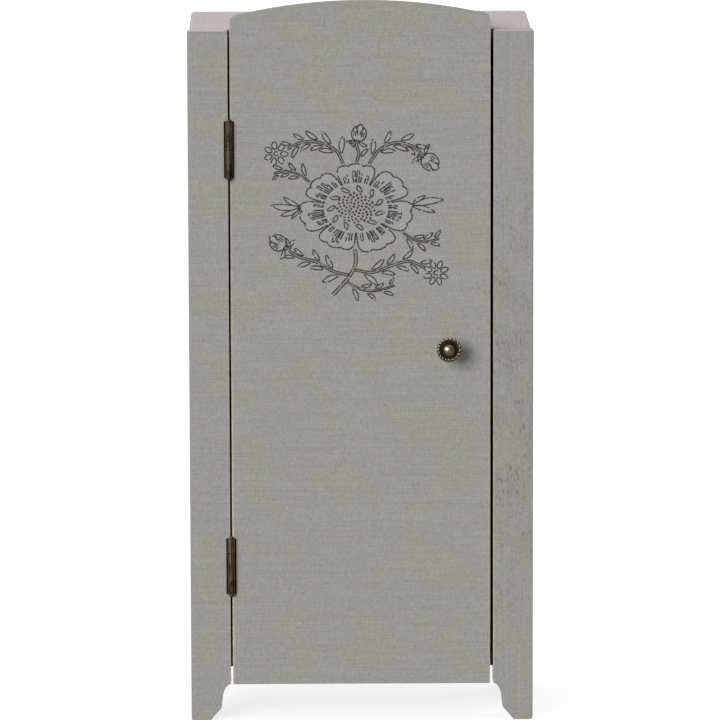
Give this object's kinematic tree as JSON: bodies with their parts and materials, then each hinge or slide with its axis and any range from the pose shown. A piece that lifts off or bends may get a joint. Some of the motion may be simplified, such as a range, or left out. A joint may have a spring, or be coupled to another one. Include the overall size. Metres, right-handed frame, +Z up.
{
  "type": "miniature wardrobe",
  "caption": "Tall painted dolls' house wardrobe with bracket feet and one arched door that swings on butt hinges.",
  "frame": {"origin": "on the floor, centred on the overall width and on the overall depth with the knob", "axes": "+X to the right seen from the front, +Y from the door to the back panel, +Z up"},
  "size_m": [0.0944, 0.0556, 0.2],
  "materials": {
    "linen_paint": "matt grey paint with a printed linen weave, worn at the edges",
    "bare_wood": "bare turned wood, lightly sanded",
    "aged_brass": "antique brass, dark in the recesses",
    "steel": "plain bright steel"
  },
  "bodies": {
    "case": {"left_front_stile": "linen_paint", "right_front_stile": "linen_paint", "left_side_panel": "linen_paint", "right_side_panel": "linen_paint", "top_panel": "linen_paint", "bottom_panel": "linen_paint", "back_panel": "linen_paint", "hanging_rod": "bare_wood", "catch_pin": "steel", "upper_hinge_frame_leaf": "aged_brass", "upper_hinge_pin": "aged_brass", "upper_hinge_frame_nail_low": "aged_brass", "upper_hinge_frame_nail_high": "aged_brass", "lower_hinge_frame_leaf": "aged_brass", "lower_hinge_pin": "aged_brass", "lower_hinge_frame_nail_low": "aged_brass", "lower_hinge_frame_nail_high": "aged_brass"},
    "door": {"door": "linen_paint", "door_magnet": "steel", "door_knob": "aged_brass", "knob_screw": "steel", "upper_hinge_door_leaf": "aged_brass", "upper_hinge_door_nail_low": "aged_brass", "upper_hinge_door_nail_high": "aged_brass", "lower_hinge_door_leaf": "aged_brass", "lower_hinge_door_nail_low": "aged_brass", "lower_hinge_door_nail_high": "aged_brass"}
  },
  "joints": [
    {"name": "door_hinge", "type": "hinge", "parent": "case", "child": "door", "pos_m": [-0.03598, -0.0208, 0.10155], "axis": [0, 0, -1], "range_deg": [0, 180]}
  ]
}
